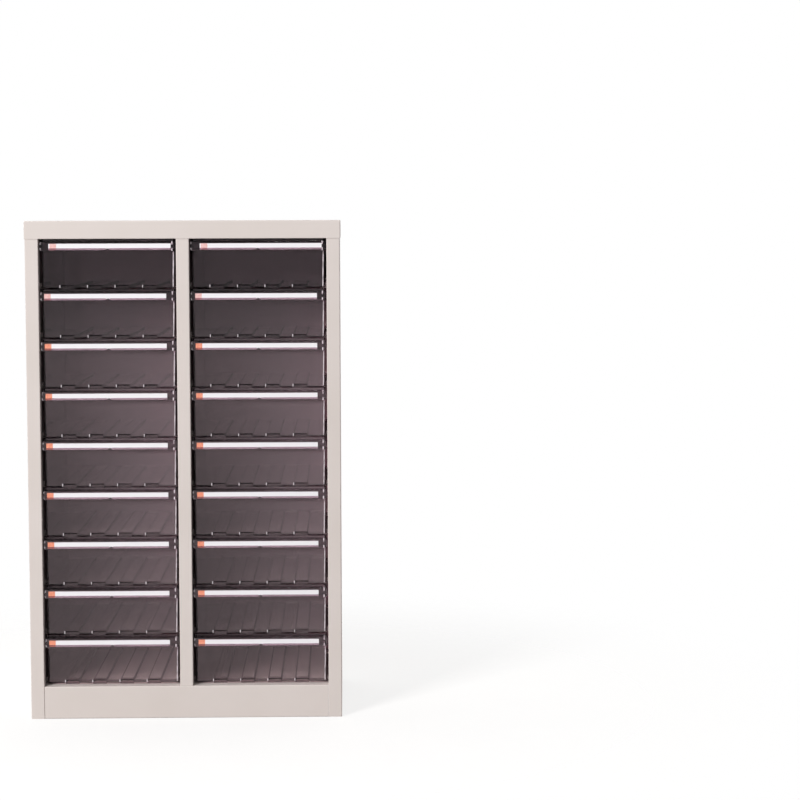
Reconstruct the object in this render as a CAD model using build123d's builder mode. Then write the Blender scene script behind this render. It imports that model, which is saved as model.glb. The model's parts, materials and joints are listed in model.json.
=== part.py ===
"""Steel cabinet with two columns of nine sliding plastic paper trays.

Millimetres. The origin is the bottom centre of the cabinet: X to the right, Y from the front to the back,
Z up. The folded steel carcass stands still, and each tray slides out of the front along -Y.
"""

from build123d import *
import os

os.makedirs("parts", exist_ok=True)

# Sheet metal
sheet = 0.8
bend_radius = 1.6
fit = 0.2
running_gap = 0.3

# Carcass, as seen from the front
rows = 9
row_pitch = 87.7
opening_width = 240.0
stile_width = 23.5
centre_stile_width = 23.0
cap_band = 31.5
shelf_height = 57.5

# Folded edges of the carcass
stile_return = 16.0
rear_flange = 18.0
hem = 15.0
band_return = 12.0
runner_lap = 7.0
runner_flange = 8.0

# Smoke plastic tray
tray_length = 315.0
tray_gap = 2.5
tray_side_gap = 3.0
tray_recess = 19.0
tray_rear_gap = 2.4
shelf_gap = 3.2
head_gap = 1.0
wall = 1.8
wall_draft = 1.4
tray_corner = 2.6
tray_base_radius = 1.4
rim_height = 3.0
rim_lip = 1.0

# Raised strips in the tray floor, and the foot under each end of them
strip_count = 4
strip_pitch = 48.3
strip_width = 24.0
strip_height = 2.8
strip_edge = 0.6
foot_height = 1.9
foot_length = 10.0
foot_recess = 1.5
foot_notch_height = 3.0
foot_notch_edge = 1.0

# Pull bar that holds the label card
pull_depth = 12.0
pull_top = 3.2
window_height = 8.2
hook = 1.0
top_hook = 2.1
bottom_hook = 3.5
card_slot = 0.8
slot_play = 0.2
pull_wall = 1.6
pull_edge = 0.8
ear_reach = 1.5
ear_thickness = 2.4
ear_wrap = 9.0
ear_radius = 4.0
end_radius = 5.0
notch_radius = 2.2

# Rails that carry the trays
rail_sheet = 1.0
rail_ledge = 12.0
rail_leg = 10.0
rail_setback = 10.0
rail_rear_gap = 5.0
travel = 240.0
stop_tab = 2.2
stop_tab_height = 7.0
lug_length = 8.0
lug_height = 6.0
lug_gap = 0.8

# Blind rivets that hold the back panel
rivets_per_side = 6
rivet_shank = 3.2
rivet_head = 6.4
rivet_head_height = 0.9
rivet_head_taper = 40.0
rivet_tail = 4.6
rivet_tail_length = 1.6
rivet_end_margin = 60.0

# Places that follow from the sizes above
tray_height = row_pitch - tray_gap
cap_skirt = sheet + fit
body_depth = tray_recess + tray_length + tray_rear_gap + 2 * sheet
body_width = 2 * (stile_width + opening_width) + centre_stile_width
cabinet_depth = body_depth + 2 * cap_skirt
cabinet_width = body_width + 2 * cap_skirt
lowest_tray = shelf_height + shelf_gap
opening_top = lowest_tray + rows * row_pitch - tray_gap + head_gap
cabinet_height = opening_top + cap_band
panel_top = cabinet_height - bend_radius
cap_underside = cabinet_height - sheet

stile_front = -body_depth / 2
body_rear = body_depth / 2
panel_rear = body_rear - sheet
panel_front = panel_rear - sheet
tray_front = stile_front + tray_recess
column_centre = (centre_stile_width + opening_width) / 2
half_opening = opening_width / 2
web_face = half_opening + sheet
rail_face = web_face - rail_sheet
kick_half_width = column_centre + half_opening - running_gap
pan_half_width = body_width / 2 - bend_radius - fit
columns = {"left": -column_centre, "right": column_centre}

tray_width = opening_width - 2 * tray_side_gap
body_top_width = tray_width - 2 * rim_lip
body_base_width = body_top_width - 2 * wall_draft
body_top_length = tray_length - rim_lip
body_base_length = body_top_length - wall_draft
pull_upper = tray_height - pull_top
window_top = pull_upper - pull_wall - top_hook
window_bottom = window_top - window_height
pull_lower = window_bottom - bottom_hook - pull_wall
pull_length = tray_width + 2 * ear_reach


def tray_floor_height(row):
    """Height of the underside of the tray in this row, where row 1 is the top one."""
    return lowest_tray + (rows - row) * row_pitch


def save(part, label):
    part.label = label
    export_step(part, f"parts/{label}.step")


# Side panels: one sheet each, folded to a stile with a return at the front and to a flange at the rear.
rivet_span = panel_top - shelf_height - 2 * rivet_end_margin
rivet_pitch = rivet_span / (rivets_per_side - 1)
rivet_rows = [shelf_height + rivet_end_margin + step * rivet_pitch for step in range(rivets_per_side)]
rivet_heights = [shelf_height / 2] + rivet_rows
rivet_x = (body_width - rear_flange) / 2
rivet_hole = rivet_shank / 2 + fit / 2

with BuildPart() as side_panel:
    with BuildSketch(Plane.XY):
        with BuildLine():
            FilletPolyline(
                (rear_flange - body_width / 2, body_rear),
                (-body_width / 2, body_rear),
                (-body_width / 2, stile_front),
                (stile_width - body_width / 2, stile_front),
                (stile_width - body_width / 2, stile_front + stile_return),
                radius=bend_radius,
            )
            offset(amount=sheet, side=Side.LEFT)
        make_face()
    extrude(amount=panel_top)
    for height in rivet_heights:
        with Locations(Location((-rivet_x, body_rear, height), (90, 0, 0))):
            Hole(rivet_hole, depth=2 * sheet)

save(side_panel.part, "left_side_panel")

with BuildPart() as right_side_panel:
    add(mirror(side_panel.part, about=Plane.YZ, mode=Mode.PRIVATE))

save(right_side_panel.part, "right_side_panel")

# Cap: a shallow tray turned upside down over the panels, with a safe edge folded in over each opening.
with BuildPart() as top_cap:
    with Locations((0, 0, opening_top)):
        Box(cabinet_width, cabinet_depth, cap_band, align=(Align.CENTER, Align.CENTER, Align.MIN))
    fillet(top_cap.edges().filter_by(Axis.Z), bend_radius)
    fillet(top_cap.edges().group_by(Axis.Z)[-1], bend_radius)
    offset(amount=-sheet, openings=top_cap.faces().sort_by(Axis.Z)[0])
    return_span = opening_width - 2 * running_gap
    for centre in columns.values():
        with Locations((centre, -cabinet_depth / 2, opening_top)):
            Box(
                return_span,
                2 * sheet,
                bend_radius,
                align=(Align.CENTER, Align.CENTER, Align.MIN),
                mode=Mode.SUBTRACT,
            )
        with BuildSketch(Plane.YZ.offset(centre - return_span / 2)):
            with BuildLine():
                FilletPolyline(
                    (-cabinet_depth / 2, opening_top + bend_radius),
                    (-cabinet_depth / 2, opening_top),
                    (band_return - cabinet_depth / 2, opening_top),
                    radius=bend_radius - running_gap,
                )
                offset(amount=sheet, side=Side.LEFT)
            make_face()
        extrude(amount=return_span)

save(top_cap.part, "top_cap")

# Base pan: the bottom shelf, folded down to the kick plate in front and to an apron behind.
with BuildPart() as base_pan:
    with BuildSketch(Plane.YZ.offset(-pan_half_width)):
        with BuildLine():
            FilletPolyline(
                (stile_front + hem, 0),
                (stile_front, 0),
                (stile_front, shelf_height),
                (panel_rear, shelf_height),
                (panel_rear, 0),
                (panel_rear - hem, 0),
                radius=bend_radius,
            )
            offset(amount=sheet, side=Side.RIGHT)
        make_face()
    extrude(amount=2 * pan_half_width)
    notch_depth = stile_return + running_gap
    for sign in (-1, 1):
        with Locations((sign * (kick_half_width + stile_width / 2), stile_front, 0)):
            Box(
                stile_width,
                notch_depth,
                shelf_height,
                align=(Align.CENTER, Align.MIN, Align.MIN),
                mode=Mode.SUBTRACT,
            )
        with Locations(Location((sign * rivet_x, panel_rear, rivet_heights[0]), (90, 0, 0))):
            Hole(rivet_hole, depth=2 * sheet)

save(base_pan.part, "base_pan")

# Back panel: a flat sheet inside the rear flanges.
with BuildPart() as back_panel:
    back_bottom = shelf_height + running_gap
    with Locations((0, panel_front, back_bottom)):
        Box(2 * pan_half_width, sheet, panel_top - back_bottom, align=(Align.CENTER, Align.MIN, Align.MIN))
    for sign in (-1, 1):
        for height in rivet_rows:
            with Locations(Location((sign * rivet_x, panel_rear, height), (90, 0, 0))):
                Hole(rivet_hole, depth=2 * sheet)

save(back_panel.part, "back_panel")

# Blind rivets: a domed head outside, the shank through both sheets and the upset tail inside.
with BuildPart() as back_rivets:
    for sign in (-1, 1):
        for height in rivet_heights:
            with BuildSketch(Plane((sign * rivet_x, panel_front, height), x_dir=(1, 0, 0), z_dir=(0, 1, 0))):
                Circle(rivet_shank / 2)
            extrude(amount=2 * sheet)
            with BuildSketch(Plane((sign * rivet_x, panel_front, height), x_dir=(1, 0, 0), z_dir=(0, -1, 0))):
                Circle(rivet_tail / 2)
            extrude(amount=rivet_tail_length)
            with BuildSketch(Plane((sign * rivet_x, body_rear, height), x_dir=(1, 0, 0), z_dir=(0, 1, 0))):
                Circle(rivet_head / 2)
            extrude(amount=rivet_head_height, taper=rivet_head_taper)

save(back_rivets.part, "back_rivets")

# Centre stile: a channel that stands on the shelf between the two columns.
with BuildPart() as centre_stile:
    with BuildSketch(Plane.XY.offset(shelf_height)):
        with BuildLine():
            FilletPolyline(
                (-centre_stile_width / 2, stile_front + stile_return),
                (-centre_stile_width / 2, stile_front),
                (centre_stile_width / 2, stile_front),
                (centre_stile_width / 2, stile_front + stile_return),
                radius=bend_radius,
            )
            offset(amount=sheet, side=Side.LEFT)
        make_face()
    extrude(amount=panel_top - shelf_height)

save(centre_stile.part, "centre_stile")

# Runner panels: upright sheets lapped behind the stile returns, one on each side of each column.
# Rails: folded angles on the runner panels. Each ledge carries one tray and keeps the one below from tipping.
rail_front = tray_front + rail_setback
rail_rear = panel_front - rail_rear_gap
rail_length = rail_rear - rail_front
lap_front = stile_front + stile_return - runner_lap
ledge_drop = running_gap + rail_sheet

for column, centre in columns.items():
    outer = -1 if column == "left" else 1
    for name, side in (("outer", outer), ("inner", -outer)):
        with BuildPart() as runner_panel:
            with BuildSketch(Plane.XY.offset(shelf_height)):
                with BuildLine():
                    FilletPolyline(
                        (centre + side * web_face, lap_front),
                        (centre + side * web_face, panel_front),
                        (centre + side * (web_face + runner_flange), panel_front),
                        radius=sheet + running_gap,
                    )
                    offset(amount=sheet, side=Side.LEFT if side < 0 else Side.RIGHT)
                make_face()
            extrude(amount=cap_underside - shelf_height)
        save(runner_panel.part, f"runner_panel_{column}_{name}")

        with BuildPart() as rails:
            for row in range(0, rows + 1):
                ledge_base = tray_floor_height(row) - ledge_drop
                with BuildSketch(Plane.XZ.offset(-rail_front)):
                    with BuildLine():
                        FilletPolyline(
                            (centre + side * web_face, ledge_base + rail_leg),
                            (centre + side * web_face, ledge_base),
                            (centre + side * (web_face - rail_ledge), ledge_base),
                            radius=rail_sheet + running_gap,
                        )
                        offset(amount=rail_sheet, side=Side.LEFT if side < 0 else Side.RIGHT)
                    make_face()
                extrude(amount=-rail_length)
                tab_middle = centre + side * (rail_face - stop_tab / 2)
                with Locations((tab_middle, rail_front, ledge_base + rail_leg - stop_tab_height)):
                    Box(stop_tab, rail_sheet, stop_tab_height, align=(Align.CENTER, Align.MIN, Align.MIN))
        save(rails.part, f"rails_{column}_{name}")

# Tray: thin tapered walls, a rim round the sides and back, raised strips in the floor, feet and stop lugs. The
# strips run from wall to wall, and the front wall is notched over each foot.
strip_length = body_base_length - wall
hollow_length = body_base_length - 2 * (foot_recess + foot_length)
lug_front = rail_setback + rail_sheet + travel + running_gap
lug_reach = web_face - rail_sheet - lug_gap
lug_base = rail_leg - ledge_drop - stop_tab_height + running_gap

with BuildPart() as tray:
    with BuildSketch(Plane.XY):
        with Locations((0, body_base_length / 2)):
            RectangleRounded(body_base_width, body_base_length, tray_corner)
    with BuildSketch(Plane.XY.offset(tray_height)):
        with Locations((0, body_top_length / 2)):
            RectangleRounded(body_top_width, body_top_length, tray_corner)
    loft()
    fillet(tray.edges().group_by(Axis.Z)[0], tray_base_radius)
    with BuildSketch(Plane.XY.offset(tray_height - rim_height)):
        with Locations((0, tray_length / 2)):
            RectangleRounded(tray_width, tray_length, tray_corner + rim_lip)
        Rectangle(tray_width, 2 * tray_corner, mode=Mode.SUBTRACT)
    extrude(amount=rim_height)
    with BuildSketch(Plane.XY.offset(wall)):
        with Locations((0, body_base_length / 2)):
            RectangleRounded(body_base_width - 2 * wall, body_base_length - 2 * wall, tray_corner - wall)
    with BuildSketch(Plane.XY.offset(tray_height)):
        with Locations((0, body_top_length / 2)):
            RectangleRounded(body_top_width - 2 * wall, body_top_length - 2 * wall, tray_corner - wall)
    loft(mode=Mode.SUBTRACT)
    with BuildSketch(Plane.XY.offset(wall)):
        with Locations((0, body_base_length / 2)):
            with GridLocations(strip_pitch, 0, strip_count, 1):
                Rectangle(strip_width, strip_length)
    extrude(amount=strip_height)
    level_faces = tray.faces().filter_by(Axis.Z)
    strip_tops = level_faces.filter_by_position(Axis.Z, wall + strip_edge, wall + 2 * strip_height)
    fillet(strip_tops.edges().filter_by(Axis.Y), strip_edge)
    with BuildSketch(Plane.XY):
        with Locations((0, body_base_length / 2)):
            with GridLocations(strip_pitch, 0, strip_count, 1):
                Rectangle(strip_width - 2 * wall, hollow_length)
    extrude(amount=strip_height, mode=Mode.SUBTRACT)
    notch_lip = foot_notch_height + foot_notch_edge
    for strip in range(strip_count):
        strip_left = (strip - (strip_count - 1) / 2) * strip_pitch - strip_width / 2
        with BuildSketch(Plane.YZ.offset(strip_left)):
            with BuildLine():
                Polyline(
                    (0, notch_lip),
                    (-foot_recess, notch_lip),
                    (-foot_recess, -foot_recess),
                    (foot_recess, -foot_recess),
                    (foot_recess, foot_notch_height),
                    (foot_notch_edge, foot_notch_height),
                )
                CenterArc((foot_notch_edge, notch_lip), foot_notch_edge, 180, 90)
            make_face()
        extrude(amount=strip_width, mode=Mode.SUBTRACT)
    with BuildSketch(Plane.XY.offset(-foot_height)):
        with Locations((0, body_base_length / 2)):
            with GridLocations(strip_pitch, hollow_length + foot_length, strip_count, 2):
                Rectangle(strip_width, foot_length)
    extrude(amount=foot_height)
    lug_width = lug_reach - body_base_width / 2 + wall / 2
    for side in (-1, 1):
        with Locations((side * (lug_reach - lug_width / 2), lug_front, lug_base)):
            Box(lug_width, lug_length, lug_height, align=(Align.CENTER, Align.MIN, Align.MIN))

# Pull bar: a see-through channel along the tray's front, open to the rear and below for the fingertips. The
# label card slides in behind its two hooks, and its ears wrap round the tray's front corners.
slot_front = hook - pull_depth
slot_back = slot_front + card_slot
plate_back = slot_back + pull_wall
slot_top = window_top + top_hook - slot_play
slot_bottom = window_bottom - bottom_hook + slot_play

with BuildPart() as pull_bar:
    with BuildSketch(Plane.YZ.offset(-pull_length / 2)) as pull_section:
        with BuildLine():
            Polyline(
                (0, pull_upper),
                (-pull_depth, pull_upper),
                (-pull_depth, window_top),
                (slot_front, window_top),
                (slot_front, slot_top),
                (slot_back, slot_top),
                (slot_back, slot_bottom),
                (slot_front, slot_bottom),
                (slot_front, window_bottom),
                (-pull_depth, window_bottom),
                (-pull_depth, pull_lower),
                (plate_back, pull_lower),
                (plate_back, pull_upper - pull_wall),
                (0, pull_upper - pull_wall),
                close=True,
            )
        make_face()
    extrude(amount=pull_length)
    outer_edges = pull_bar.edges().filter_by(Axis.X).group_by(Axis.Y)[0]
    fillet([outer_edges.sort_by(Axis.Z)[0], outer_edges.sort_by(Axis.Z)[-1]], pull_edge)
    for height, radius in ((window_top, notch_radius), (window_bottom, notch_radius + hook)):
        with BuildSketch(Plane.XZ.offset(pull_depth)):
            with Locations((0, height)):
                Circle(radius)
        extrude(amount=-hook, mode=Mode.SUBTRACT)
    for ear_start in (-pull_length / 2, pull_length / 2 - ear_thickness):
        with BuildSketch(Plane.YZ.offset(ear_start)):
            with BuildLine():
                FilletPolyline(
                    (-pull_depth, pull_upper - pull_edge),
                    (-pull_depth, pull_lower),
                    (ear_wrap, pull_lower),
                    (ear_wrap, pull_upper - pull_edge),
                    radius=ear_radius,
                )
                Polyline((ear_wrap, pull_upper - pull_edge), (-pull_depth, pull_upper - pull_edge))
            make_face()
        extrude(amount=ear_thickness)
    with BuildSketch(Plane.XZ.offset(-ear_wrap)):
        with Locations((0, (pull_upper + pull_lower) / 2)):
            RectangleRounded(pull_length, pull_upper - pull_lower, end_radius)
    extrude(amount=ear_wrap + pull_depth, mode=Mode.INTERSECT)

for column, centre in columns.items():
    for row in range(1, rows + 1):
        place = (centre, tray_front, tray_floor_height(row))
        with BuildPart() as placed_tray:
            with Locations(place):
                add(tray.part)
        save(placed_tray.part, f"tray_{column}_{row}")

        with BuildPart() as placed_pull:
            with Locations(place):
                add(pull_bar.part)
        save(placed_pull.part, f"pull_{column}_{row}")

print(f"cabinet {cabinet_width:.1f} wide, {cabinet_depth:.1f} deep, {cabinet_height:.1f} high")
print(f"tray fronts at Y {tray_front:.1f}, lowest underside at {tray_floor_height(rows):.1f}")
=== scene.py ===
"""Looks of the two-column tray cabinet: powder-coated steel, smoke polystyrene trays, darker smoke pull bars
and paper index cards, on a pale studio floor.

Metres, in the CAD model's frame: X to the right, Y from the front to the back, Z up.
"""

import json
import math

import bpy
import numpy as np
from mathutils import Matrix, Vector

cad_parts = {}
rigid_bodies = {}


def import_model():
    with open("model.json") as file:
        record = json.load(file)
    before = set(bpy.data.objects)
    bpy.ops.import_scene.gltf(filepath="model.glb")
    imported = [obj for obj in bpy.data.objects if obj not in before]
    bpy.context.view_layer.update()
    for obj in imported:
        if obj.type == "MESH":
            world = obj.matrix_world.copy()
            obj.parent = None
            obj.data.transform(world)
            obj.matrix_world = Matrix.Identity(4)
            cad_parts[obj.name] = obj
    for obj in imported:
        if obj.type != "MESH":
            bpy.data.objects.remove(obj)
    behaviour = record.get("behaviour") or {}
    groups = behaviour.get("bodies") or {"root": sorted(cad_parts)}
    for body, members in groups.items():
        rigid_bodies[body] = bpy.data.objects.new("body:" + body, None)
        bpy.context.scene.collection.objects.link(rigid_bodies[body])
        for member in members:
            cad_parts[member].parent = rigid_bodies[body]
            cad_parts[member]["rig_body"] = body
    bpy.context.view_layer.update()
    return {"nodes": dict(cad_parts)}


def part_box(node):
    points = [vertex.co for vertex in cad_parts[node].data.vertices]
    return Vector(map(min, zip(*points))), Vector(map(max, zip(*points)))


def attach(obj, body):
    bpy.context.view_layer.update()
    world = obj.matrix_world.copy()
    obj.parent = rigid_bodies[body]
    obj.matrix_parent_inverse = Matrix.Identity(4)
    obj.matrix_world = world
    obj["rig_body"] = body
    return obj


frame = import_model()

# Carcass: side panels, cap, base pan, stile, runner panels, rails and back are 0.8 to 1 mm steel sheet,
# folded and spot welded, then powder coated in one warm pale grey. The baked powder leaves a fine, even
# orange peel, whose waves are narrower than a pixel and so show as a soft sheen.
MM = 0.001
coat_cloud_size = 140 * MM
coat_film_strengths = (0.3, 0.7)
coat_peel_size = 1.6 * MM
coat_peel = {"Strength": 0.12, "Distance": 0.1 * MM}
coat_roughness = (0.42, 0.5)
coat_ior = 1.5


def linear(code):
    """sRGB hex code to linear RGBA: c / 12.92 below 0.04045, else ((c + 0.055) / 1.055) ** 2.4."""
    parts = np.array([int(code[i : i + 2], 16) / 255 for i in (1, 3, 5)])
    return (*np.where(parts <= 0.04045, parts / 12.92, ((parts + 0.055) / 1.055) ** 2.4), 1.0)


def add_node(tree, kind, inputs=(), **settings):
    """Adds a shader node. settings are its own properties; inputs maps a socket's name or number to a value
    or to the output socket that feeds it."""
    made = tree.nodes.new("ShaderNode" + kind)
    for name, value in settings.items():
        setattr(made, name, value)
    for name, value in dict(inputs).items():
        if isinstance(value, bpy.types.NodeSocket):
            tree.links.new(value, made.inputs[name])
        else:
            made.inputs[name].default_value = value
    return made


def start_material(name):
    """A new material with an empty node tree: (material, tree, output node, object coordinates in metres)."""
    material = bpy.data.materials.new(name)
    material.use_nodes = True
    tree = material.node_tree
    tree.nodes.clear()
    output = add_node(tree, "OutputMaterial")
    place = add_node(tree, "TexCoord").outputs["Object"]
    return material, tree, output, place


def two_tones(tree, place, size, detail, strengths, colours):
    """Clouds of the given size: (their strength, their colour). The colour runs straight from the first of
    colours to the second between the two strengths, and is level outside them."""
    clouds = add_node(tree, "TexNoise", {"Vector": place, "Scale": 1 / size, "Detail": detail}).outputs["Fac"]
    ramp = add_node(tree, "ValToRGB", {"Fac": clouds})
    for stop, strength, colour in zip(ramp.color_ramp.elements, strengths, colours):
        stop.position = strength
        stop.color = colour
    return clouds, ramp.outputs["Color"]


def finish_nodes(names, material):
    """Gives each of these CAD nodes one material and no other."""
    for name in names:
        slots = frame["nodes"][name].data.materials
        slots.clear()
        slots.append(material)


def powder_coat(name, colour, thin_colour):
    """Baked powder over steel: thin_colour where the film is thin, colour where it is full."""
    material, tree, output, place = start_material(name)
    tones = (thin_colour, colour)
    film = two_tones(tree, place, coat_cloud_size, 3, coat_film_strengths, tones)[1]
    peel = add_node(tree, "TexNoise", {"Vector": place, "Scale": 1 / coat_peel_size, "Detail": 2}).outputs[0]
    smooth, rough = coat_roughness
    gloss = add_node(tree, "MapRange", {"Value": peel, "To Min": smooth, "To Max": rough})
    skin = add_node(tree, "Bump", {"Height": peel, **coat_peel})
    finish = {
        "Base Color": film,
        "Roughness": gloss.outputs["Result"],
        "Normal": skin.outputs["Normal"],
        "IOR": coat_ior,
    }
    coat = add_node(tree, "BsdfPrincipled", finish)
    tree.links.new(coat.outputs["BSDF"], output.inputs["Surface"])
    return material


fixed_nodes = [name for name, node in frame["nodes"].items() if node["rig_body"] == "cabinet"]
carcass_nodes = [n for n in fixed_nodes if n != "back_rivets"]
inner_nodes = [n for n in carcass_nodes if n.startswith(("runner_panel", "rails"))]
outer_coat = powder_coat("powder_coated_steel", linear("#E0D6D1"), linear("#DBD1CB"))
finish_nodes([n for n in carcass_nodes if n not in inner_nodes], outer_coat)

# The runner panels and rails deep in the box are drawn dark grey as painted shade, for the shade that falls
# in there.
shade_dark_inner_coat = powder_coat("shade_darkened_inner_steel", linear("#7A7370"), linear("#5F5957"))
finish_nodes(inner_nodes, shade_dark_inner_coat)

# Blind rivets: plain aluminium, drawn and pressed, left bare, which hold the back panel. The setting tool
# leaves the heads a little scuffed and dented.
rivet_scuff_size = 0.8 * MM
rivet_dents = {"Strength": 0.1, "Distance": 0.1 * MM}
rivet_roughness = (0.28, 0.45)

aluminium, tree, output, place = start_material("blind_rivet_aluminium")
scuff = add_node(tree, "TexNoise", {"Vector": place, "Scale": 1 / rivet_scuff_size, "Detail": 3}).outputs[0]
smooth, rough = rivet_roughness
satin = add_node(tree, "MapRange", {"Value": scuff, "To Min": smooth, "To Max": rough})
dents = add_node(tree, "Bump", {"Height": scuff, **rivet_dents})
rivet_finish = {
    "Base Color": linear("#C9C9CB"),
    "Metallic": 1.0,
    "Roughness": satin.outputs["Result"],
    "Normal": dents.outputs["Normal"],
}
metal = add_node(tree, "BsdfPrincipled", rivet_finish)
tree.links.new(metal.outputs["BSDF"], output.inputs["Surface"])
finish_nodes(["back_rivets"], aluminium)

# Trays: smoke grey polystyrene, injection moulded with 1.8 mm walls. It is glossy and lets about half the
# light through each wall, a little less of the green. Painted on them are a pale sheen on the fronts towards
# their right end, painted light on the floors, painted shade along the floor strips and under the fronts, and
# painted highlights down the upright corners and at the notches over the feet.
polystyrene_ior = 1.59
polystyrene_roughness = 0.03
flow_waves = {"Strength": 0.02, "Distance": 0.3 * MM}
tray_tint = linear("#BAABB1")
tray_flow_size = 60 * MM

top_tray, next_tray, last_tray = (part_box(f"tray_left_{row}") for row in (1, 2, 9))
row_pitch = top_tray[0].z - next_tray[0].z
column_centre = -(top_tray[0].x + top_tray[1].x) / 2
tray_face = top_tray[0].y
tray_foot = last_tray[0].z
foot_height = 1.9 * MM
wall_height = 85.2 * MM
wall_draft = 1.4 * MM / wall_height
strip_count = 4
strip_pitch = 48.3 * MM
strip_width = 24 * MM
half_row = strip_count * strip_pitch / 2
half_strip = strip_width / 2

# The spans below are (start, end) of a fade, or (start, end, soft) of a mark that fades out within soft past
# each end. Marks on the face alone end at the depth face_skin, and those round its corners at front_wall.
face_skin = (0.1 * MM, 0.4 * MM)
front_wall = (2 * MM, 4 * MM)

# Painted sheen on the fronts: a pale film standing in for reflected light. It grows from the left end to the
# right one and from the top row down to mid height, and thins again towards the lowest rows.
painted_sheen_colour = linear("#E6CBD5")
painted_sheen_weight = 0.1
painted_sheen_ends = (-120 * MM, 120 * MM)
painted_sheen_upper_rows = (830 * MM, 530 * MM)
painted_sheen_lower_rows = (60 * MM, 420 * MM)
painted_sheen_lowest_share = 0.2

# Painted light on the floors: a pale film, some in the lower half of the cabinet and most in the lowest row,
# less at the left end.
painted_floor_light_colour = linear("#E0E4D6")
lower_rows = (500 * MM, 300 * MM)
lower_rows_weight = 0.27
lowest_row = (150 * MM, 60 * MM)
lowest_row_weight = 0.63
painted_floor_light_height = (1 * MM, 5.2 * MM, 0.3 * MM)
painted_floor_light_start = (5 * MM, 30 * MM)
painted_floor_light_ends = (-110 * MM, 60 * MM)
painted_floor_light_left_share = 0.2

# Painted shade: dark lines along both edges of each floor strip, over each notch, and along the lower edge
# between the strips.
painted_shade_colour = linear("#120E10")
painted_shade_weight = 0.9
strip_row = (-half_row, half_row, 0.1 * MM)
strip_edge = (half_strip, half_strip + 0.2 * MM)
step_span = (half_strip - 1.8 * MM, half_strip + 0.6 * MM, 0.2 * MM)
step_height = (1.7 * MM, 4.9 * MM, 0.1 * MM)
step_start = (12 * MM, 14 * MM)
lip_height = (4 * MM, 5.3 * MM, 0.3 * MM)
edge_height = (-0.5 * MM, 1 * MM, 0.2 * MM)

# Painted highlights: patchy light lines down both corners below the bar, and a light tick at the left edge of
# each notch over a foot.
painted_highlight_colour = linear("#F2E9EE")
highlight_patch_size = 9 * MM
highlight_patch_tones = (0.3, 0.6)
highlight_patch_shares = (0.55, 1)
right_highlight = 0.85
right_highlight_span = (112.7 * MM, 115.1 * MM, 0.3 * MM)
left_highlight = 0.2
left_highlight_span = (-115.1 * MM, -113.4 * MM, 0.3 * MM)
corner_highlight_height = (3 * MM, 63 * MM, 2 * MM)
notch_highlight = 0.8
notch_highlight_span = (-half_strip - 1.3 * MM, -half_strip, 0.2 * MM)
notch_highlight_height = (0.5 * MM, 5 * MM, 0.5 * MM)


def weight(tree, *factors):
    """Product of factors. Each is a socket or a number, or a step (socket, start, end, low, high), which is
    low up to start and high from end on, eased between them."""
    product = None
    for factor in factors:
        if isinstance(factor, tuple):
            value, start, end, low, high = factor
            step = {"Value": value, "From Min": start, "From Max": end, "To Min": low, "To Max": high}
            factor = add_node(tree, "MapRange", step, interpolation_type="SMOOTHSTEP").outputs["Result"]
        if product is None:
            product = factor
        else:
            product = add_node(tree, "Math", {0: product, 1: factor}, operation="MULTIPLY").outputs[0]
    return product


def band(value, start, end, soft):
    """Two steps for weight: 1 where value lies from start to end, easing to 0 within soft outside them."""
    return (value, start - soft, start, 0, 1), (value, end, end + soft, 1, 0)


def place_in_tray(tree, place):
    """Sockets measured in each tray: across from its middle, x - sign(x) * column_centre; depth behind its
    face; height above its underside, (z - tray_foot) modulo row_pitch - foot_height; and z itself."""
    axes = add_node(tree, "SeparateXYZ", {0: place}).outputs
    side = add_node(tree, "Math", {0: axes["X"]}, operation="SIGN").outputs[0]
    shifted = {0: side, 1: -column_centre, 2: axes["X"]}
    across = add_node(tree, "Math", shifted, operation="MULTIPLY_ADD").outputs[0]
    depth = add_node(tree, "Math", {0: axes["Y"], 1: tray_face}, operation="SUBTRACT").outputs[0]
    raised = add_node(tree, "Math", {0: axes["Z"], 1: tray_foot}, operation="SUBTRACT").outputs[0]
    in_row = add_node(tree, "Math", {0: raised, 1: row_pitch}, operation="MODULO").outputs[0]
    height = add_node(tree, "Math", {0: in_row, 1: foot_height}, operation="SUBTRACT").outputs[0]
    return across, depth, height, axes["Z"]


def see_through(name, tint, flow_size, marks):
    """A smoked moulding. tint is what one wall lets through; lamps reach what is behind it, each face taking
    the square root of the tint, because a wall has two faces. marks makes a list of (weight socket, colour)
    from the tree and the coordinates: painted light and painted shade on the surface, each scattering lamp
    light as a matt face turned to the front would."""
    material, tree, output, place = start_material(name)
    waves = add_node(tree, "TexNoise", {"Vector": place, "Scale": 1 / flow_size, "Detail": 2})
    flow = add_node(tree, "Bump", {"Height": waves.outputs["Fac"], **flow_waves})
    finish = {
        "Base Color": tint,
        "Transmission Weight": 1.0,
        "Roughness": polystyrene_roughness,
        "IOR": polystyrene_ior,
        "Normal": flow.outputs["Normal"],
    }
    surface = add_node(tree, "BsdfPrincipled", finish).outputs["BSDF"]
    towards_front = add_node(tree, "CombineXYZ", {"Y": -1.0}).outputs["Vector"]
    for share, colour in marks(tree, place):
        mark = add_node(tree, "BsdfDiffuse", {"Color": colour, "Normal": towards_front}).outputs["BSDF"]
        surface = add_node(tree, "MixShader", {0: share, 1: surface, 2: mark}).outputs["Shader"]
    face_tint = (*(c**0.5 for c in tint[:3]), 1.0)
    lamp_way = add_node(tree, "BsdfTransparent", {"Color": face_tint}).outputs["BSDF"]
    shadow = add_node(tree, "LightPath").outputs["Is Shadow Ray"]
    mix = add_node(tree, "MixShader", {0: shadow, 1: surface, 2: lamp_way})
    tree.links.new(mix.outputs["Shader"], output.inputs["Surface"])
    return material


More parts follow.
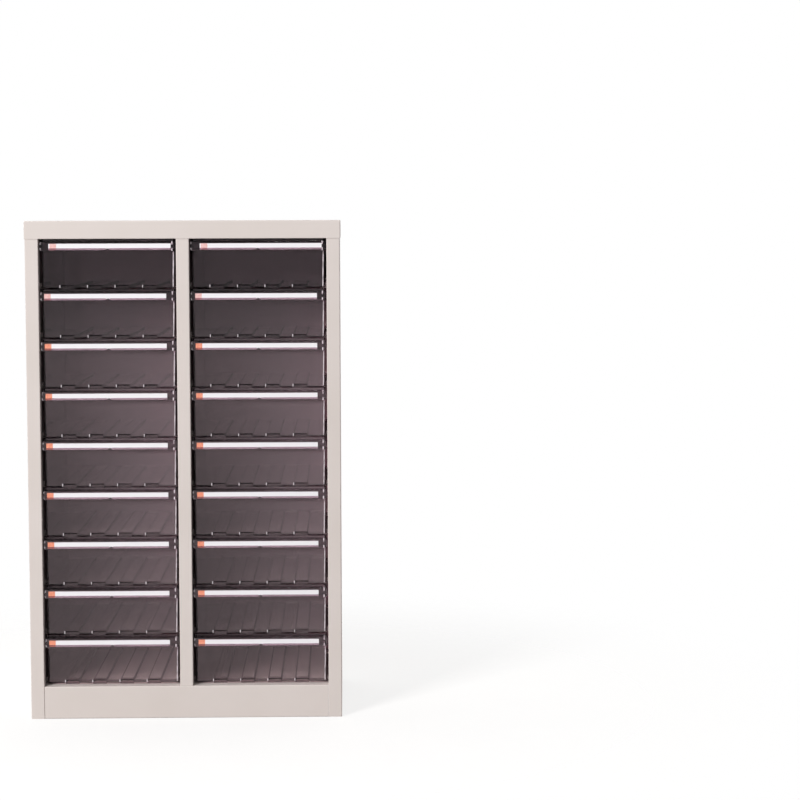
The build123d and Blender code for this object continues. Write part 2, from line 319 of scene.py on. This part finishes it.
def tray_marks(tree, place):
    """Painted sheen on the fronts, painted light on the floors, painted shade and painted highlights, each a
    product of eased steps in the tray's own places. The strips repeat at their pitch, so off_strip =
    (across + half_row) modulo strip_pitch - strip_pitch / 2, and the walls lean out by height * wall_draft."""
    across, depth, height, level = place_in_tray(tree, place)
    on_face = weight(tree, (depth, *face_skin, 1, 0))
    near_face = weight(tree, (depth, *front_wall, 1, 0))

    # Painted sheen: a pale film on the fronts, lighter to the right and below the top rows.
    from_left = (across, *painted_sheen_ends, 0, painted_sheen_weight)
    from_top = (level, *painted_sheen_upper_rows, 0, 1)
    to_bottom = (level, *painted_sheen_lower_rows, painted_sheen_lowest_share, 1)
    film = weight(tree, from_left, from_top, to_bottom, on_face)

    # Painted light on the floors of the lower rows, weaker at the left end.
    lower = weight(tree, (level, *lower_rows, 0, lower_rows_weight))
    lowest = weight(tree, (level, *lowest_row, 0, lowest_row_weight))
    lit_floor_rows = add_node(tree, "Math", {0: lower, 1: lowest}, operation="ADD").outputs[0]
    less_left = (across, *painted_floor_light_ends, painted_floor_light_left_share, 1)
    behind_front = (depth, *painted_floor_light_start, 0, 1)
    painted_floor_light = weight(tree, *band(height, *painted_floor_light_height), behind_front, lit_floor_rows, less_left)

    from_end = add_node(tree, "Math", {0: across, 1: half_row}, operation="ADD").outputs[0]
    along = add_node(tree, "Math", {0: from_end, 1: strip_pitch}, operation="MODULO").outputs[0]
    off_strip = add_node(tree, "Math", {0: along, 1: strip_pitch / 2}, operation="SUBTRACT").outputs[0]
    from_middle = add_node(tree, "Math", {0: off_strip}, operation="ABSOLUTE").outputs[0]
    over_strips = weight(tree, *band(across, *strip_row))
    on_strip = weight(tree, (from_middle, *strip_edge, 1, 0), over_strips)
    between = add_node(tree, "Math", {0: 1.0, 1: on_strip}, operation="SUBTRACT").outputs[0]

    # Painted shade: dark lines at the strip sides, over the notches and in the gap under the fronts.
    step_sides = (*band(from_middle, *step_span), *band(height, *step_height))
    step = weight(tree, *step_sides, (depth, *step_start, 0, 1), over_strips)
    lip = weight(tree, on_strip, *band(height, *lip_height), on_face)
    edge = weight(tree, between, *band(height, *edge_height), near_face)
    on_front = add_node(tree, "Math", {0: lip, 1: edge}, operation="MAXIMUM").outputs[0]
    shaded_lines = add_node(tree, "Math", {0: step, 1: on_front}, operation="MAXIMUM").outputs[0]
    painted_shade = weight(tree, shaded_lines, painted_shade_weight)

    # Painted highlights: light lines down the upright corners and ticks at the notches.
    patches = add_node(tree, "TexNoise", {"Vector": place, "Scale": 1 / highlight_patch_size, "Detail": 3})
    below_bar = band(height, *corner_highlight_height)
    patchy = (patches.outputs["Fac"], *highlight_patch_tones, *highlight_patch_shares)
    highlight_patches = weight(tree, patchy, *below_bar, near_face)
    lean_in = {0: height, 1: -wall_draft, 2: across}
    lean_out = {0: height, 1: wall_draft, 2: across}
    right = add_node(tree, "Math", lean_in, operation="MULTIPLY_ADD").outputs[0]
    left = add_node(tree, "Math", lean_out, operation="MULTIPLY_ADD").outputs[0]
    right_corner = weight(tree, *band(right, *right_highlight_span), highlight_patches, right_highlight)
    left_corner = weight(tree, *band(left, *left_highlight_span), highlight_patches, left_highlight)
    notch_edge = (*band(off_strip, *notch_highlight_span), *band(height, *notch_highlight_height))
    tick = weight(tree, *notch_edge, over_strips, on_face, notch_highlight)

    highlights = [(share, painted_highlight_colour) for share in (right_corner, left_corner, tick)]
    return [(film, painted_sheen_colour), (painted_floor_light, painted_floor_light_colour), (painted_shade, painted_shade_colour), *highlights]


smoke_plastic = see_through("smoke_polystyrene", tray_tint, tray_flow_size, tray_marks)
finish_nodes([n for n in frame["nodes"] if n.startswith("tray_")], smoke_plastic)

# Pull bars: darker smoke polystyrene, moulded as one channel with two hooks that hold the card, and bonded to
# the tray. Their ends carry painted highlights in patches, for the glints on their rounded ends.
pull_tint = linear("#AB9CA3")
pull_flow_size = 40 * MM
end_highlight = 0.7
end_patch_size = 4 * MM
end_patch_tones = (0.4, 0.5)
end_patch_shares = (0.3 * end_highlight, end_highlight)
left_end_span = (-119 * MM, -116.4 * MM, 0.4 * MM)
right_end_span = (112 * MM, 113.2 * MM, 0.8 * MM)
slot_height = (71 * MM, 75.5 * MM, 1.5 * MM)


def pull_marks(tree, place):
    """Painted highlights near both ends, in patches and not at the slot: (left band + right band) * (1 - slot
    band).
    """
    across, _, height, _ = place_in_tray(tree, place)
    left_end = weight(tree, *band(across, *left_end_span))
    right_end = weight(tree, *band(across, *right_end_span))
    ends = add_node(tree, "Math", {0: left_end, 1: right_end}, operation="ADD").outputs[0]
    at_slot = weight(tree, *band(height, *slot_height))
    outside_slot = add_node(tree, "Math", {0: 1.0, 1: at_slot}, operation="SUBTRACT").outputs[0]
    # Painted highlights on the bar ends, in patches.
    patches = add_node(tree, "TexNoise", {"Vector": place, "Scale": 1 / end_patch_size, "Detail": 2})
    patchy = (patches.outputs["Fac"], *end_patch_tones, *end_patch_shares)
    return [(weight(tree, ends, outside_slot, patchy), painted_highlight_colour)]


dark_smoke_plastic = see_through("dark_smoke_polystyrene", pull_tint, pull_flow_size, pull_marks)
finish_nodes([n for n in frame["nodes"] if n.startswith("pull_")], dark_smoke_plastic)

# Index cards: white card, 0.4 mm thick and guillotined, pushed into the pull bar's slot from above, with an
# orange marker slip in front of the left end. A card is a little shorter than its slot, so it slides to one
# end, and a half-round thumb cut in its lower edge lies behind the bar's own notch.
card_length = 213.4 * MM
card_height = 11.2 * MM
card_thickness = 0.4 * MM
card_cut_radius = 3.1 * MM
card_bow = 0.12 * MM
slip_length = 11.5 * MM
slip_thickness = 0.12 * MM
slip_gap = 0.08 * MM
bow_points = 25
cut_points = 17
slot_end = 114.8 * MM
slot_depth = 1.28 * MM
slot_bottom = 1.85 * MM
card_inset = {"left": 3.2 * MM, "right": 4.4 * MM}
top_row_push = 8.6 * MM
top_row_slip_inset = 2 * MM
row_count = 9
glare_rows = (1, 2)
card_fibre_size = 1.2 * MM
slip_fibre_size = 3 * MM
fibre_strengths = (0.25, 0.6)
paper_nap = {"Strength": 0.1, "Distance": 0.05 * MM}
paper_roughness = 0.7
paper_ior = 1.45


def curled_sheet(name, low, high, bow, cut_middle, cut_radius, material):
    """A closed thin sheet from corner low to corner high, thickness along Y. u runs along X from -1 to 1, and
    the whole sheet bows forward by bow * (1 - u ** 2). The lower edge rises round the cut by
    sqrt(cut_radius ** 2 - (x - cut_middle) ** 2), which the closest points follow. The front and back faces
    share the outline, so the sheet is one ring of four points carried along u."""
    half_span = (high[0] - low[0]) / 2
    u = np.linspace(-1, 1, bow_points)
    if cut_radius:
        cut_at = (cut_middle - low[0]) / half_span - 1
        near_cut = cut_at - cut_radius / half_span * np.cos(np.linspace(0, np.pi, cut_points))
        u = np.unique(np.concatenate([u, near_cut]))
    ring = np.array([(0, 0), (0, 1), (1, 1), (1, 0)], float)
    x = low[0] + half_span * (1 + u[:, None]) + 0 * ring[:, 0]
    y = low[1] + ring[:, 0] * (high[1] - low[1]) - bow * (1 - u[:, None] ** 2)
    rise = np.sqrt(np.maximum(cut_radius**2 - (x - cut_middle) ** 2, 0))
    z = low[2] + ring[:, 1] * (high[2] - low[2]) + (1 - ring[:, 1]) * rise
    points = np.stack([x, y, z], axis=-1).reshape(-1, 3)
    step, side = np.meshgrid(np.arange(len(u) - 1), np.arange(4), indexing="ij")
    corner = 4 * step + side
    follow = 4 * step + (side + 1) % 4
    walls = np.stack([corner, follow, follow + 4, corner + 4], axis=-1).reshape(-1, 4)
    last = 4 * (len(u) - 1)
    faces = [*walls.tolist(), [3, 2, 1, 0], [last, last + 1, last + 2, last + 3]]
    mesh = bpy.data.meshes.new(name)
    mesh.from_pydata(points.tolist(), [], faces)
    mesh.materials.append(material)
    piece = bpy.data.objects.new(name, mesh)
    bpy.context.collection.objects.link(piece)
    return piece


def paper(name, colour, shade, fibre_size):
    """Uncoated card: a matt pressed mat of fibres, a little darker where they thin. Single fibres are too
    fine to show, so the pattern is that of their clumps, a millimetre or more wide."""
    material, tree, output, place = start_material(name)
    fibres, mat = two_tones(tree, place, fibre_size, 4, fibre_strengths, (shade, colour))
    nap = add_node(tree, "Bump", {"Height": fibres, **paper_nap}).outputs["Normal"]
    finish = {"Base Color": mat, "Roughness": paper_roughness, "Normal": nap, "IOR": paper_ior}
    sheet = add_node(tree, "BsdfPrincipled", finish)
    tree.links.new(sheet.outputs["BSDF"], output.inputs["Surface"])
    return material


white_card = paper("white_index_card", linear("#FAF8FB"), linear("#F2EFF2"), card_fibre_size)
orange_slip = paper("orange_marker_slip", linear("#F8A488"), linear("#EE8666"), slip_fibre_size)
# The slips of the top rows get a paler, pinker copy of the orange paper as painted glare.
glare_pale_slip = paper("glare_pale_marker_slip", linear("#F4CBC9"), linear("#EBB0A8"), slip_fibre_size)

for column in ("left", "right"):
    for row in range(1, row_count + 1):
        low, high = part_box(f"tray_{column}_{row}")
        pull_low, pull_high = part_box(f"pull_{column}_{row}")
        middle = (low.x + high.x) / 2
        card_left = middle - slot_end + card_inset[column] + (top_row_push if row == 1 else 0)
        card_front = pull_low.y + slot_depth
        card_bottom = pull_low.z + slot_bottom
        card = curled_sheet(
            f"card_{column}_{row}",
            (card_left, card_front, card_bottom),
            (card_left + card_length, card_front + card_thickness, card_bottom + card_height),
            card_bow,
            middle,
            card_cut_radius,
            white_card,
        )
        slip_left = card_left + (top_row_slip_inset if row == 1 else 0)
        slip_rear = card_front - slip_gap
        slip = curled_sheet(
            f"marker_slip_{column}_{row}",
            (slip_left, slip_rear - slip_thickness, card_bottom),
            (slip_left + slip_length, slip_rear, card_bottom + card_height),
            0,
            middle,
            0,
            glare_pale_slip if row in glare_rows else orange_slip,
        )
        for piece in (card, slip):
            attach(piece, f"drawer_{column}_{row}")

# Studio floor: a round of plain pale paint that fades into the white ground. It keeps the cabinet's shadow,
# and looks white to the eye and, a little warmer, in the glossy fronts. It lies just below the cabinet, so
# that their faces don't share one plane.
floor_radius = 1.3
floor_sides = 96
floor_fade_start = 0.45
floor_level = -0.2 * MM
floor_grain_size = 125 * MM
floor_white = linear("#918F8D")
floor_grey = linear("#8D8B89")
floor_lift = 0.76
floor_mirror_colour = linear("#FFE6EA")
plain_white = (1, 1, 1, 1)


def first_seen(tree, rays, kinds):
    """1 for rays of these kinds that no matt surface has scattered yet, and 0 for all others."""
    seen = rays[kinds[0]]
    for kind in kinds[1:]:
        seen = add_node(tree, "Math", {0: seen, 1: rays[kind]}, operation="MAXIMUM").outputs[0]
    direct = add_node(tree, "Math", {0: rays["Diffuse Depth"], 1: 0.5}, operation="LESS_THAN").outputs[0]
    return weight(tree, seen, direct)


floor_paint, tree, output, place = start_material("studio_floor")
tone = two_tones(tree, place, floor_grain_size, 2, (0, 1), (floor_grey, floor_white))[1]
matt = add_node(tree, "BsdfDiffuse", {"Color": tone}).outputs["BSDF"]
rays = add_node(tree, "LightPath").outputs
mirror_tone = add_node(tree, "MixRGB", {0: rays["Is Glossy Ray"], 1: plain_white, 2: floor_mirror_colour})
lift = add_node(tree, "Emission", {"Color": mirror_tone.outputs[0], "Strength": floor_lift})
lifted = add_node(tree, "AddShader", {0: matt, 1: lift.outputs["Emission"]}).outputs["Shader"]
seen = first_seen(tree, rays, ("Is Camera Ray", "Is Transmission Ray", "Is Glossy Ray"))
paint = add_node(tree, "MixShader", {0: seen, 1: matt, 2: lifted}).outputs["Shader"]
reach = add_node(tree, "VectorMath", {0: place}, operation="LENGTH").outputs["Value"]
fade = weight(tree, (reach, floor_fade_start, floor_radius, 0, 1))
gone = add_node(tree, "BsdfTransparent").outputs["BSDF"]
choice = add_node(tree, "MixShader", {0: fade, 1: paint, 2: gone})
tree.links.new(choice.outputs["Shader"], output.inputs["Surface"])

angle = np.linspace(0, 2 * np.pi, floor_sides, endpoint=False)
rim = np.stack([floor_radius * np.cos(angle), floor_radius * np.sin(angle), 0 * angle + floor_level], axis=-1)
floor_mesh = bpy.data.meshes.new("studio_floor")
floor_mesh.from_pydata(rim.tolist(), [], [list(range(len(rim)))])
floor_mesh.materials.append(floor_paint)
floor = bpy.data.objects.new("studio_floor", floor_mesh)
bpy.context.collection.objects.link(floor)

# Studio room: white behind the cabinet and dim on the camera's side. What is seen directly or through plastic
# is plain white, and glossy fronts also mirror the pale ground below the horizon, past the round floor.
room_dim = 0.12
room_turn = (-0.1, 0.4)
ground_mirrored = 0.9
ground_edge = (-0.075, -0.01)

world = bpy.data.worlds.new("studio_room")
bpy.context.scene.world = world
world.use_nodes = True
tree = world.node_tree
tree.nodes.clear()
output = add_node(tree, "OutputWorld")
direction = add_node(tree, "TexCoord").outputs["Generated"]
parts = add_node(tree, "SeparateXYZ", {0: direction}).outputs
rays = add_node(tree, "LightPath").outputs
room = weight(tree, (parts["Y"], *room_turn, room_dim, 1))
mirrored = weight(tree, (parts["Z"], *ground_edge, ground_mirrored, 0), rays["Is Glossy Ray"])
strength = add_node(tree, "Math", {0: room, 1: mirrored}, operation="MAXIMUM").outputs[0]
warmth = add_node(tree, "MixRGB", {0: mirrored, 1: plain_white, 2: floor_mirror_colour}).outputs[0]
surroundings = add_node(tree, "Background", {"Color": warmth, "Strength": strength}).outputs["Background"]
white = add_node(tree, "Background", {"Color": plain_white, "Strength": 1.0}).outputs["Background"]
seen = first_seen(tree, rays, ("Is Camera Ray", "Is Transmission Ray"))
choice = add_node(tree, "MixShader", {0: seen, 1: surroundings, 2: white})
tree.links.new(choice.outputs["Shader"], output.inputs["Surface"])

# Lamps: a large soft one above the front left and a weak one above the front, each with its place, its size
# in metres and its power in watts.
lamps = {
    "soft_key": ((-3.2, -5.4, 3.4), (1.6, 3.0), 432),
    "soft_fill": ((0.6, -4.6, 3.0), (1.2, 1.2), 30),
}
aim = Vector((0, -0.1, 0.6))
for name, (spot, size, power) in lamps.items():
    lamp_data = bpy.data.lights.new(name, "AREA")
    lamp_data.shape = "RECTANGLE"
    lamp_data.size, lamp_data.size_y = size
    lamp_data.energy = power
    lamp = bpy.data.objects.new(name, lamp_data)
    lamp.location = spot
    lamp.rotation_euler = (aim - Vector(spot)).to_track_quat("-Z", "Y").to_euler()
    bpy.context.collection.objects.link(lamp)

# Camera: fitted to the cabinet's own edges in the photograph, an 800 pixel square frame. It stands a little
# to the right of the cabinet, at the height of its cap, and looks down by a few degrees.
frame_pixels = 800
focal_pixels = 2350
camera_place = Vector((0.2839, -4.2918, 0.8856))
yaw, pitch, roll = (math.radians(a) for a in (1.331, 4.459, -0.172))

ahead = Vector((math.sin(yaw), math.cos(yaw), 0))
across = Vector((math.cos(yaw), -math.sin(yaw), 0))
up = Vector((0, 0, 1))
view_axis = math.cos(pitch) * ahead - math.sin(pitch) * up
view_up = math.sin(pitch) * ahead + math.cos(pitch) * up
frame_right = math.cos(roll) * across + math.sin(roll) * view_up
frame_up = math.cos(roll) * view_up - math.sin(roll) * across

camera_data = bpy.data.cameras.new("camera")
camera_data.sensor_width = 36
camera_data.lens = camera_data.sensor_width * focal_pixels / frame_pixels
camera_data.clip_end = 100
camera = bpy.data.objects.new("camera", camera_data)
turn = Matrix((frame_right, frame_up, -view_axis)).transposed().to_4x4()
camera.matrix_world = Matrix.Translation(camera_place) @ turn
bpy.context.collection.objects.link(camera)
bpy.context.scene.camera = camera
bpy.context.scene.view_settings.view_transform = "Standard"
